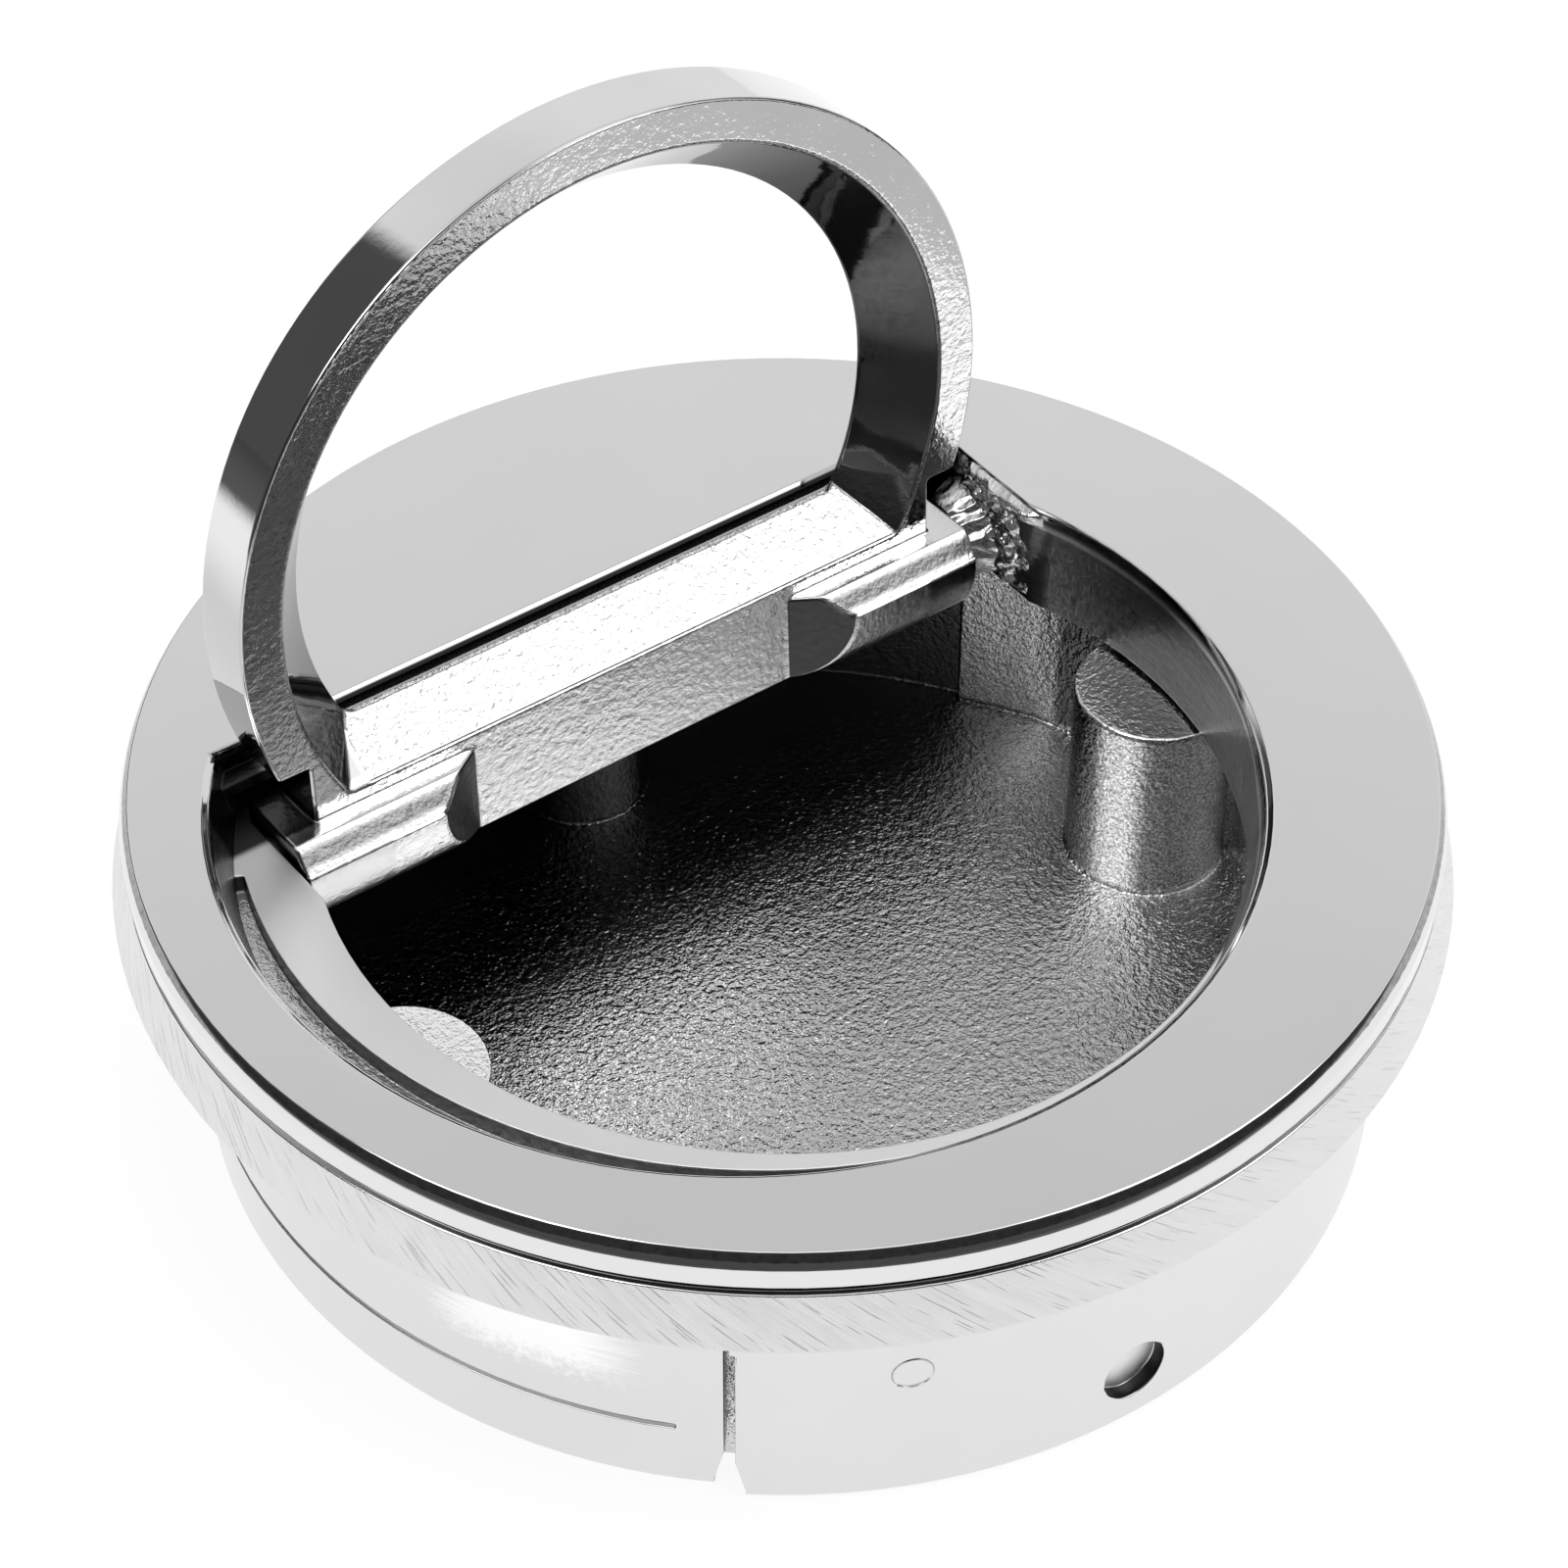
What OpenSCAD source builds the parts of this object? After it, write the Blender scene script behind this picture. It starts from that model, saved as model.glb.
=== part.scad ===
// Recessed round ring pull for a cabinet door or hatch.
// A flanged bezel with a skirt holds a cup, and a ring stands up from the bezel on two hinge pins.
// Millimetres. X runs along the hinge, the ring folds towards -Y, Z is up from the foot of the skirt.

/* [Ring] */
// Outer radius of the ring
ring_outer_radius = 21.4; // [18:0.05:26]
// Thickness of the ring, front face to back face
ring_depth = 3.5; // [2.8:0.1:5]
// Width of the narrow front face
ring_front_width = 2.25; // [1.6:0.05:3]
// Width of the broad back face
ring_back_width = 5.2; // [4:0.1:6.5]
// Bevel along the inner edge of the back face
ring_bevel = 0.5; // [0.2:0.05:0.8]
// Angle the standing ring leans back past upright
ring_lean = 2; // [0:0.5:4]
// Distance the ring sits off the flange axis
ring_offset = 0.9; // [0.3:0.1:1.4]

/* [Hinge] */
// Distance of the hinge line from the flange axis
hinge_setback = 13; // [11:0.1:15]
// Width of the hinge opening, measured from the flange axis to one side
hinge_half_width = 21.4; // [19:0.1:22.2]
// Diameter of the hinge pins
pin_diameter = 2.2; // [1.6:0.1:2.4]
// Length of each hinge pin
pin_length = 7.6; // [6:0.1:9]
// Length of each pin held in the bezel
pin_hold = 3; // [2:0.1:3.6]
// Gap round a pin in the ring
pin_clearance = 0.04; // [0.02:0.01:0.09]
// Distance from the pin axis to the ring's front face
pin_to_front = 1.7; // [1.5:0.05:2]
// Gap at the end of each lug
lug_gap = 0.2; // [0.15:0.05:1]
// Wall of the peened metal round the right pin
pad_wall = 0.75; // [0.5:0.05:1]
// Flare of the peened metal towards the side of the opening
pad_flare = 0.6; // [0.2:0.05:0.8]
// Gap between the standing ring and the lip that stops it
stop_gap = 0.08; // [0.05:0.01:0.3]
// Gap between the folded ring and the bosses it comes down on
fold_gap = 0.05; // [0.03:0.01:0.3]

/* [Crossbar] */
// Depth of the crossbar below the pin axis
bar_below = 2.7; // [2.2:0.1:3]
// Height of the crossbar's front edge above the pin axis
bar_front_rise = 3.35; // [2.8:0.05:3.8]
// Height of the crossbar's back edge above the pin axis
bar_back_rise = 5.8; // [4.6:0.1:6.4]
// Chamfer along the crossbar's lower back edge
bar_chamfer = 0.8; // [0.5:0.1:1.2]
// Distance from the ring's middle to the start of a lug
lug_start = 9.4; // [7:0.1:11]
// Sideways slant of each lug's inner end
lug_slant = 3.1; // [1.5:0.1:4]
// Distance each lug stands out in front of the crossbar
lug_nose = 2; // [1.4:0.1:2.4]
// Height of the lugs above the pin axis
lug_rise = 2.5; // [1.9:0.1:2.7]
// Depth of the flat along the top of a lug
lug_flat = 0.8; // [0.4:0.1:1.2]
// Fall from a lug's top to the lip along its front
lug_lip_drop = 1.3; // [0.6:0.1:1.8]
// Width of the arms at the relief above the lugs, from the middle
arm_relief_half = 18.5; // [17.5:0.1:19.2]
// Height of the relief's upper end above the pin axis
arm_relief_rise = 5.85; // [4.8:0.05:6.6]

/* [Opening] */
// Gap between the folded ring and the hole at the nearest place
ring_gap = 0.4; // [0.3:0.05:1.2]
// Distance the pocket above the hole sits off the flange axis
pocket_offset = 2.7; // [1.6:0.1:3]
// Widest part of the crescent ledge between hole and pocket
ledge_wide = 5.2; // [4:0.1:5.4]
// Depth of the crescent ledge below the top face
ledge_depth = 3.2; // [2.4:0.1:3.4]
// Draw-in of the pocket's wall from the top face to the ledge
pocket_draw_in = 1; // [0.3:0.1:1.4]
// Depth below the ledge of the groove along the foot of the pocket's wall
groove_depth = 1; // [0.4:0.05:1.2]
// Radius of the ledge's outer step, beyond the radius of the wall's foot
step_swell = 1.4; // [1:0.05:1.6]
// Distance of the step's centre to the right of the pocket's axis
step_shift_right = 3; // [2.4:0.05:3.4]
// Distance of the step's centre behind the pocket's axis
step_shift_back = 2.1; // [1.6:0.05:2.4]
// Direction in which that groove starts
groove_start_angle = 152; // [146:1:160]
// Direction in which that groove ends
groove_end_angle = 262; // [250:1:268]
// Bevel of the straight edge behind the ring, measured across
back_bevel = 0.3; // [0.2:0.05:0.5]
// Height of the straight edge's bevel
back_bevel_fall = 0.35; // [0.2:0.05:0.6]
// Depth of the stop lip's upper side below the top face
lip_fall = 1.25; // [1:0.05:1.4]
// Bevel round the opening's upper edge
edge_break = 0.25; // [0.1:0.05:0.5]

/* [Flange] */
// Height of the whole base from the foot of the skirt to the top face
base_height = 19; // [17:0.1:24]
// Thickness of the flange at its outer side
flange_thickness = 5.5; // [4.5:0.1:6]
// Distance the flange stands out past the skirt
flange_overhang = 2.8; // [2:0.1:4]
// Draw-in of the ground side from its foot to its upper edge
side_draw_in = 0.8; // [0.3:0.05:1.2]
// Height of the polished rim above the ground side
rim_height = 2.4; // [1.8:0.1:2.8]
// Distance the rim stands out past the upper edge of the ground side
rim_stand = 0.05; // [0:0.05:0.2]
// Width of the bevel round the top face
rim_bevel = 0.25; // [0.15:0.05:0.45]
// Height of the bevel round the top face
rim_bevel_fall = 0.4; // [0.2:0.05:0.6]
// Width of the steep face below that bevel
rim_slope = 0.2; // [0.1:0.05:0.35]
// Height of the steep face
rim_slope_fall = 0.45; // [0.3:0.05:0.7]
// Height of the line below the polished rim
rim_line = 0.5; // [0.3:0.05:0.6]
// Depth of that line
rim_line_depth = 0.35; // [0.2:0.05:0.5]
// Depth of the solid plate from the top face to the cup
plate_depth = 6.3; // [6.1:0.1:6.8]
// Bevel along the outer edges of the flange and the skirt's foot
outer_break = 0.25; // [0.1:0.05:0.4]

/* [Skirt] */
// Wall of the skirt
skirt_wall = 2.1; // [1.6:0.1:2.8]
// Draw-in of the spring wing from the rest of the skirt
wing_draw_in = 0.75; // [0.3:0.05:0.9]
// Direction of the slot at the front end of the wing
wing_front_angle = 229; // [222:1:236]
// Direction of the slot at the back end of the wing
wing_back_angle = 144; // [140:1:150]
// Width of the slots that free the wing
slot_width = 0.55; // [0.4:0.05:0.8]
// Width of the slots at the foot of the skirt
slot_mouth = 1.5; // [1:0.1:2]
// Height of the slots
slot_height = 10; // [8:0.1:11]
// Height of the thin groove along the wing
wing_line_height = 3.6; // [2.8:0.1:5]
// Width and depth of that groove
wing_line_size = 0.3; // [0.2:0.05:0.5]
// Angle from the wing's back slot to the start of that groove
wing_line_start = 22; // [10:1:30]
// Angle from the end of that groove to the wing's front slot
wing_line_end = 5; // [3:1:12]
// Diameter of the fixing hole at the front
fixing_hole_diameter = 3.4; // [2.6:0.1:4]
// Depth of the fixing hole
fixing_hole_depth = 0.8; // [0.5:0.05:1.2]
// Height of the fixing hole
fixing_hole_height = 3.3; // [2.8:0.1:4]
// Direction of the fixing hole
fixing_hole_angle = 267; // [262:1:272]
// Diameter of the ejector mark on the skirt
ejector_mark_diameter = 1.9; // [1.2:0.1:2.4]
// Depth of the ejector mark
ejector_mark_depth = 0.05; // [0.03:0.01:0.1]
// Direction of the ejector mark
ejector_mark_angle = 245; // [240:1:250]
// Height of the ejector mark
ejector_mark_height = 8.3; // [7:0.1:9]

/* [Cup] */
// Space between the opening's hole and the inside of the cup
cup_margin = 3.4; // [2.8:0.1:4.2]
// Wall of the cup
cup_wall = 1.45; // [1:0.05:1.8]
// Floor of the cup
cup_floor = 1.5; // [1.1:0.1:2.2]
// Gap between the cup and the skirt
cup_fit = 0.05; // [0.02:0.01:0.1]
// Relief round the foot of the cup's outer wall
cup_relief = 0.4; // [0.2:0.05:0.6]
// Radius of the two side bosses
boss_radius = 4.2; // [3.4:0.1:4.8]
// Gap between the boss tops and the plate
boss_gap = 0.3; // [0.15:0.05:0.6]
// Distance of the side bosses in front of the flange axis
boss_forward = 1.1; // [0:0.1:2.5]
// Distance of the side bosses' axes outside the hole's wall
boss_outset = 0.15; // [-0.5:0.05:0.8]
// Radius of the boss behind the hinge
back_boss_radius = 3.4; // [2.6:0.1:4]
// Distance of the back boss from the inside of the cup
back_boss_inset = 6; // [5:0.1:6.4]
// Distance of the back boss to the right of the flange axis
back_boss_side = 1.5; // [0:0.1:4]
// Width of the piers below the hinge
pier_width = 6.2; // [5:0.1:6.6]
// Direction the pier faces look away from
pier_angle = 34; // [28:1:40]
// Distance of the piers outside the hinge opening
pier_outset = 2.05; // [1.8:0.05:2.6]
// Distance of the piers in front of the hinge line
pier_forward = 2.1; // [1.6:0.1:3]

/* [Hidden] */
$fn = 160;
far = 60;
// overlap that keeps two shapes in one solid
joined = 0.02;
// distance a cut runs past the face it opens
past = 1;
curve_steps = 8;
// room left round parts that turn
turn_gap = 0.2;
// depth the lugs' noses run back into the crossbar
nose_root = 0.5;
// heights between which the mouth of a slot narrows
flare_foot = 0.4;
flare_top = 2.4;

hole_radius = ring_outer_radius + ring_offset + ring_gap;
pocket_radius = hole_radius + ledge_wide - pocket_offset;
pocket_foot_radius = pocket_radius - pocket_draw_in;
cup_inner_radius = hole_radius + cup_margin;
cup_outer_radius = cup_inner_radius + cup_wall;
skirt_inner_radius = cup_outer_radius + cup_fit;
skirt_radius = skirt_inner_radius + skirt_wall;
wing_radius = skirt_radius - wing_draw_in;
flange_radius = skirt_radius + flange_overhang;
side_top_radius = flange_radius - side_draw_in;
rim_radius = side_top_radius + rim_stand;

flange_foot = base_height - flange_thickness;
plate_foot = base_height - plate_depth;
ledge_height = base_height - ledge_depth;
boss_top = plate_foot - boss_gap;

pin_radius = pin_diameter / 2;
pin_height = boss_top + fold_gap + pin_to_front;
pin_to_back = ring_depth - pin_to_front;
// distance from the flange axis to the inner end of each pin
pin_inner = hinge_half_width + pin_hold - pin_length;
// the ring's middle comes down on the flange axis when it folds
ring_rise = hinge_setback;
// farthest the crossbar's lower edge reaches behind the pin axis as it turns
bar_sweep = norm([bar_below, max(pin_to_back - bar_chamfer, 0)]);
back_wall_y = hinge_setback + bar_sweep + turn_gap;
lip_top = base_height - lip_fall;
lip_y = hinge_setback + pin_to_back / cos(ring_lean) + (lip_top - pin_height) * tan(ring_lean) + stop_gap;
// the lip starts above the crossbar's lower back corner as that corner turns
lip_foot = pin_height + bar_below + turn_gap;
chord_y = back_wall_y + back_bevel;
lug_end = hinge_half_width - ring_offset - lug_gap;
lug_lip = lug_rise - lug_lip_drop;
// lowest the noses of the lugs reach when the ring folds, with room below
lug_foot = pin_height - pin_to_front - lug_nose - turn_gap;
// the ring sits to the left, so the right lug ends farther from its side of the opening
pad_length = 2 * ring_offset;
pad_nose_radius = pin_radius + pad_wall;
pad_root_radius = pad_nose_radius + pad_flare;

boss_spread = hole_radius + boss_outset;
back_boss_y = cup_inner_radius - back_boss_inset;

// profile of the bezel before the openings are cut, radius against height
module bezel_profile()
{
    polygon([
        [0, plate_foot],
        [0, base_height],
        [rim_radius - rim_slope - rim_bevel, base_height],
        [rim_radius - rim_slope, base_height - rim_bevel_fall],
        [rim_radius, base_height - rim_bevel_fall - rim_slope_fall],
        [rim_radius, base_height - rim_height + rim_line],
        [rim_radius - rim_line_depth, base_height - rim_height + rim_line],
        [rim_radius - rim_line_depth, base_height - rim_height],
        [side_top_radius, base_height - rim_height],
        [flange_radius, flange_foot + outer_break],
        [flange_radius - outer_break, flange_foot],
        [skirt_radius, flange_foot],
        [skirt_radius, outer_break],
        [skirt_radius - outer_break, 0],
        [skirt_inner_radius, 0],
        [skirt_inner_radius, plate_foot]]);
}

// sector of a disc between two directions, a fan of points wider than the part
module sector(start, end)
{
    steps = 12;
    polygon(concat([[0, 0]],
        [for (i = [0:steps])
            [far * cos(start + (end - start) * i / steps),
             far * sin(start + (end - start) * i / steps)]]));
}

// part of a flat ring between two directions
module arc_band(inner, outer, start, end)
{
    intersection()
    {
        difference()
        {
            circle(r = outer);
            circle(r = inner);
        }
        sector(start, end);
    }
}

// slot through the skirt with a flared mouth at the foot
module skirt_slot(direction)
{
    rotate([0, 0, direction])
        translate([skirt_inner_radius - past / 2, 0, 0])
            rotate([90, 0, 90])
                linear_extrude(skirt_wall + past)
                    polygon([
                        [-slot_mouth / 2, -past], [slot_mouth / 2, -past],
                        [slot_mouth / 2, flare_foot],
                        [slot_width / 2, flare_top], [slot_width / 2, slot_height],
                        [-slot_width / 2, slot_height], [-slot_width / 2, flare_top],
                        [-slot_mouth / 2, flare_foot]]);
}

// the hole the ring drops through and the pocket that leaves the crescent ledge
module opening()
{
    translate([0, 0, plate_foot - past])
        cylinder(r = hole_radius, h = plate_depth + 2 * past);
    translate([-hinge_half_width, 0, plate_foot - past])
        cube([2 * hinge_half_width, far, plate_depth + 2 * past]);
    translate([-pocket_offset, 0, ledge_height])
        cylinder(r1 = pocket_foot_radius, r2 = pocket_radius, h = ledge_depth + joined);
    translate([-pocket_offset, 0, base_height - edge_break])
        cylinder(r1 = pocket_radius, r2 = pocket_radius + edge_break + past, h = edge_break + past);
}

// room in front of the straight edge behind the ring, with the lip that stops the ring
module opening_limit()
{
    difference()
    {
        translate([-far, -far, plate_foot - past])
            cube([2 * far, far + back_wall_y, far]);
        translate([-far, lip_y, lip_foot])
            cube([2 * far, far, lip_top - lip_foot]);
    }
    // bevel of the straight edge
    translate([-far, 0, 0])
        rotate([90, 0, 90])
            linear_extrude(2 * far)
                polygon([[back_wall_y - past, base_height - back_bevel_fall],
                         [back_wall_y, base_height - back_bevel_fall], [chord_y, base_height],
                         [chord_y, base_height + past], [back_wall_y - past, base_height + past]]);
}

// groove between the foot of the pocket's wall and the step along the ledge
module ledge_groove()
{
    translate([-pocket_offset, 0, ledge_height - groove_depth])
        linear_extrude(groove_depth + joined)
            intersection()
            {
                sector(groove_start_angle, groove_end_angle);
                difference()
                {
                    circle(r = pocket_foot_radius);
                    translate([step_shift_right, step_shift_back])
                        circle(r = pocket_foot_radius + step_swell);
                }
            }
}

// metal peened up round the right pin, which takes up the room beside the right lug
module peened_pad()
{
    translate([hinge_half_width - pad_length, hinge_setback, pin_height])
        rotate([0, 90, 0])
            cylinder(r1 = pad_nose_radius, r2 = pad_root_radius, h = pad_length + joined);
}

// bore that holds a hinge pin in the plate, through the pad on the right
module pin_seat(side)
{
    depth = pin_hold + (side > 0 ? pad_length : 0);
    translate([side * (hinge_half_width + pin_hold - depth / 2), hinge_setback, pin_height])
        rotate([0, 90, 0])
            cylinder(r = pin_radius, h = depth + 2 * joined, center = true, $fn = 64);
}

module bezel()
{
    color("Silver")
    difference()
    {
        union()
        {
            difference()
            {
                rotate_extrude()
                    bezel_profile();
                intersection()
                {
                    opening();
                    opening_limit();
                }
            }
            peened_pad();
        }
        ledge_groove();
        // the wing is drawn in from the rest of the skirt
        translate([0, 0, -past])
            linear_extrude(flange_foot + past)
                arc_band(wing_radius, skirt_radius + past, wing_back_angle, wing_front_angle);
        // thin groove along the wing
        translate([0, 0, wing_line_height])
            linear_extrude(wing_line_size)
                arc_band(wing_radius - wing_line_size, skirt_radius + past,
                         wing_back_angle + wing_line_start, wing_front_angle - wing_line_end);
        skirt_slot(wing_front_angle);
        skirt_slot(wing_back_angle);
        rotate([0, 0, fixing_hole_angle])
            translate([skirt_radius - fixing_hole_depth, 0, fixing_hole_height])
                rotate([0, 90, 0])
                    cylinder(d = fixing_hole_diameter, h = fixing_hole_depth + past, $fn = 64);
        rotate([0, 0, ejector_mark_angle])
            translate([skirt_radius - ejector_mark_depth, 0, ejector_mark_height])
                rotate([0, 90, 0])
                    cylinder(d = ejector_mark_diameter, h = past, $fn = 48);
        pin_seat(-1);
        pin_seat(1);
    }
}

// pier below one end of the hinge, drawn for the right side
module pier()
{
    translate([hinge_half_width + pier_outset, hinge_setback - pier_forward, cup_floor - joined])
        rotate([0, 0, pier_angle])
            translate([0, -pier_width / 2, 0])
                cube([far, pier_width, boss_top - cup_floor + joined]);
}

// round boss on the cup's floor
module boss(x, y, radius)
{
    translate([x, y, cup_floor - joined])
        cylinder(r = radius, h = boss_top - cup_floor + joined, $fn = 96);
}

module cup()
{
    color("DimGray")
    difference()
    {
        union()
        {
            difference()
            {
                cylinder(r = cup_outer_radius, h = plate_foot);
                translate([0, 0, cup_floor])
                    cylinder(r = cup_inner_radius, h = plate_foot);
            }
            // what stands on the floor runs into the wall and no farther
            intersection()
            {
                union()
                {
                    pier();
                    mirror([1, 0, 0])
                        pier();
                    boss(-boss_spread, -boss_forward, boss_radius);
                    boss(boss_spread, -boss_forward, boss_radius);
                    boss(back_boss_side, back_boss_y, back_boss_radius);
                }
                cylinder(r = cup_inner_radius + cup_wall / 3, h = plate_foot);
            }
        }
        translate([0, 0, -joined])
            linear_extrude(cup_relief + joined)
                difference()
                {
                    circle(r = cup_outer_radius + past);
                    circle(r = cup_outer_radius - cup_relief);
                }
        // room for the outer ends of the lugs as they turn
        translate([-hinge_half_width, hinge_setback, lug_foot])
            cube([2 * hinge_half_width, back_wall_y - hinge_setback, far]);
    }
}

// opening of the ring, wider at the front than at the back
module ring_opening()
{
    front_radius = ring_outer_radius - ring_front_width;
    back_radius = ring_outer_radius - ring_back_width;
    fall = (front_radius - back_radius) / ring_depth;
    slope = (bar_back_rise - bar_front_rise) / ring_depth;
    intersection()
    {
        translate([0, -pin_to_front - past, ring_rise])
            rotate([-90, 0, 0])
                cylinder(r1 = front_radius + fall * past, r2 = back_radius - fall * past,
                         h = ring_depth + 2 * past);
        translate([-far, 0, 0])
            rotate([90, 0, 90])
                linear_extrude(2 * far)
                    polygon([[-pin_to_front - past, bar_front_rise - slope * past],
                             [pin_to_back + past, bar_back_rise + slope * past],
                             [pin_to_back + past, far], [-pin_to_front - past, far]]);
    }
    // bevel along the inner edge of the back face
    intersection()
    {
        translate([0, pin_to_back - ring_bevel, ring_rise])
            rotate([-90, 0, 0])
                cylinder(r1 = back_radius, r2 = back_radius + ring_bevel + past, h = ring_bevel + past);
        translate([-far, pin_to_back - ring_bevel - past, bar_back_rise - ring_bevel])
            cube([2 * far, far, far]);
    }
}

// section of a lug, depth against height: a flat top, a fall to the lip and a round belly
module lug_profile()
{
    front = -pin_to_front;
    fall_depth = lug_nose - lug_flat;
    polygon(concat(
        [[front + nose_root, -bar_below], [front + nose_root, lug_rise], [front - lug_flat, lug_rise]],
        [for (i = [1:curve_steps])
            [front - lug_flat - fall_depth * i / curve_steps,
             lug_rise - lug_lip_drop * (1 - cos(180 * i / curve_steps)) / 2]],
        [for (i = [1:curve_steps])
            [front - lug_nose * cos(90 * i / curve_steps),
             lug_lip - (lug_lip + bar_below) * sin(90 * i / curve_steps)]]));
}

// one lug, drawn for the right side
module lug()
{
    // the part as deep as the crossbar
    translate([lug_start + lug_slant, -pin_to_front, -bar_below])
        cube([lug_end - lug_start - lug_slant, ring_depth, bar_below + lug_rise]);
    // the nose in front of it, cut off on a slant at its inner end
    intersection()
    {
        rotate([90, 0, 90])
            linear_extrude(far)
                lug_profile();
        linear_extrude(far, center = true)
            polygon([[lug_start, -pin_to_front + nose_root], [lug_start, -pin_to_front],
                     [lug_start + lug_slant, -pin_to_front - lug_nose],
                     [lug_end, -pin_to_front - lug_nose], [lug_end, -pin_to_front + nose_root]]);
    }
}

// the ring upright, with the pin axis at the origin
module ring_upright()
{
    difference()
    {
        union()
        {
            difference()
            {
                intersection()
                {
                    translate([0, pin_to_back, ring_rise])
                        rotate([90, 0, 0])
                            cylinder(r = ring_outer_radius, h = ring_depth);
                    translate([-far, -far, -bar_below])
                        cube([2 * far, 2 * far, 2 * far]);
                }
                // relief on the outside of the arms
                for (side = [0, 1])
                    mirror([side, 0, 0])
                        translate([arm_relief_half, -far, -far])
                            cube([far, 2 * far, far + arm_relief_rise]);
            }
            lug();
            mirror([1, 0, 0])
                lug();
        }
        ring_opening();
        // chamfer along the lower back edge, so that the bar turns clear of the plate
        translate([-far, 0, 0])
            rotate([90, 0, 90])
                linear_extrude(2 * far)
                    polygon([[pin_to_back - bar_chamfer - past, -bar_below - past],
                             [pin_to_back + past, -bar_below + bar_chamfer + past],
                             [pin_to_back + past, -bar_below - past]]);
    }
}

module ring()
{
    color("Gainsboro")
    translate([0, hinge_setback, pin_height])
        difference()
        {
            translate([-ring_offset, 0, 0])
                rotate([-ring_lean, 0, 0])
                    ring_upright();
            // bores that run on the pins
            for (side = [0, 1])
                mirror([side, 0, 0])
                    translate([pin_inner - lug_gap, 0, 0])
                        rotate([0, 90, 0])
                            cylinder(r = pin_radius + pin_clearance, h = far, $fn = 64);
        }
}

// hinge pin, on the left for side -1 and on the right for side 1
module hinge_pin(side)
{
    translate([side * (pin_inner + pin_length / 2), hinge_setback, pin_height])
        rotate([0, 90, 0])
            cylinder(r = pin_radius, h = pin_length, center = true, $fn = 64);
}

module pin_left()
{
    color("SlateGray")
    hinge_pin(-1);
}

module pin_right()
{
    color("SlateGray")
    hinge_pin(1);
}

bezel();
cup();
ring();
pin_left();
pin_right();
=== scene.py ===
import math
import bpy
import bmesh
from mathutils import Matrix, Vector


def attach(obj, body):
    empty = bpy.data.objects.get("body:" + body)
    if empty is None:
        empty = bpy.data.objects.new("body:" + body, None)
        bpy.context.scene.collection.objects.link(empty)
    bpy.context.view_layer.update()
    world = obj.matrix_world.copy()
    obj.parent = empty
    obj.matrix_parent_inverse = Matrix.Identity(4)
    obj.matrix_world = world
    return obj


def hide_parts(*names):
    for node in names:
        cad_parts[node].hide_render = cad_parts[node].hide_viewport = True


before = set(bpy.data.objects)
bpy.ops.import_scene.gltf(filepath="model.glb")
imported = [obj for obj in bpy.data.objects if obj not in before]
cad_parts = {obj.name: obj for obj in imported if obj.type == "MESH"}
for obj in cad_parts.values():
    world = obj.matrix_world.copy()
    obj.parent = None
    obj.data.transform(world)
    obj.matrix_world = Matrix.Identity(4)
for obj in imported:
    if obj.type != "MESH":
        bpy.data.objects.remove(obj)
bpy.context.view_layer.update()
print("frame loaded:", sorted(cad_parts))

mm = 0.001  # lengths in the dictionaries below are millimetres
degrees = 180 / math.pi


class Wire:  # a node socket that takes part in Python sums
    def __init__(self, tree, socket=None):
        self.tree = tree
        self.socket = socket

    def node(self, kind, settings={}, sockets={}, out=0):
        made = self.tree.nodes.new(kind if "Node" in kind else "ShaderNode" + kind)
        for name, value in settings.items():
            setattr(made, name, value)
        for name, value in sockets.items():
            if isinstance(value, Wire):
                self.tree.links.new(value.socket, made.inputs[name])
            else:
                made.inputs[name].default_value = value
        return Wire(self.tree, made.outputs[out] if made.outputs else None)

    def math(self, operation, *values):
        return self.node("Math", {"operation": operation}, dict(enumerate(values)))

    def __add__(self, other):
        return self.math("ADD", self, other)

    def __radd__(self, other):
        return self.math("ADD", other, self)

    def __sub__(self, other):
        return self.math("SUBTRACT", self, other)

    def __rsub__(self, other):
        return self.math("SUBTRACT", other, self)

    def __mul__(self, other):
        return self.math("MULTIPLY", self, other)

    def __rmul__(self, other):
        return self.math("MULTIPLY", other, self)

    def __truediv__(self, other):
        return self.math("DIVIDE", self, other)

    def __pow__(self, other):
        return self.math("POWER", self, other)

    def __abs__(self):
        return self.math("ABSOLUTE", self)

    def most(self, other):  # the larger of two values
        return self.math("MAXIMUM", self, other)

    def axes(self, names="XYZ"):
        return [self.node("SeparateXYZ", {}, {0: self}, out=axis) for axis in names]

    def step(self, low, high):  # 0 below low, 1 above high, smooth between
        return self.node("MapRange", {"interpolation_type": "SMOOTHSTEP"},
                         {"Value": self, "From Min": low, "From Max": high})

    def band(self, low, high, soft):  # 1 between low and high
        return self.step(low - soft, low + soft) * (1 - self.step(high - soft, high + soft))

    def drift(self, pattern, share):  # varied by a share of itself
        return self * (1 + share * (pattern - 0.5))


def newMaterial(name):
    material = bpy.data.materials.new(name)
    material.use_nodes = True
    material.node_tree.nodes.clear()
    return material, Wire(material.node_tree)


def splitPlace(w):  # Object coordinates in millimetres, whole and by axis
    place = w.node("VectorMath", {"operation": "SCALE"},
                   {0: w.node("TexCoord", out="Object"), "Scale": 1 / mm})
    return place, place.axes()


def joinPlace(w, x, y, z):
    return w.node("CombineXYZ", {}, {0: x, 1: y, 2: z})


def noise(w, place, scale, detail=2.0, rough=0.5):
    return w.node("TexNoise", {}, {"Vector": place, "Scale": scale, "Detail": detail,
                                   "Roughness": rough})


def mixNumber(w, share, first, second):
    return w.node("Mix", {"data_type": "FLOAT"}, {0: share, 2: first, 3: second})


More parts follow.
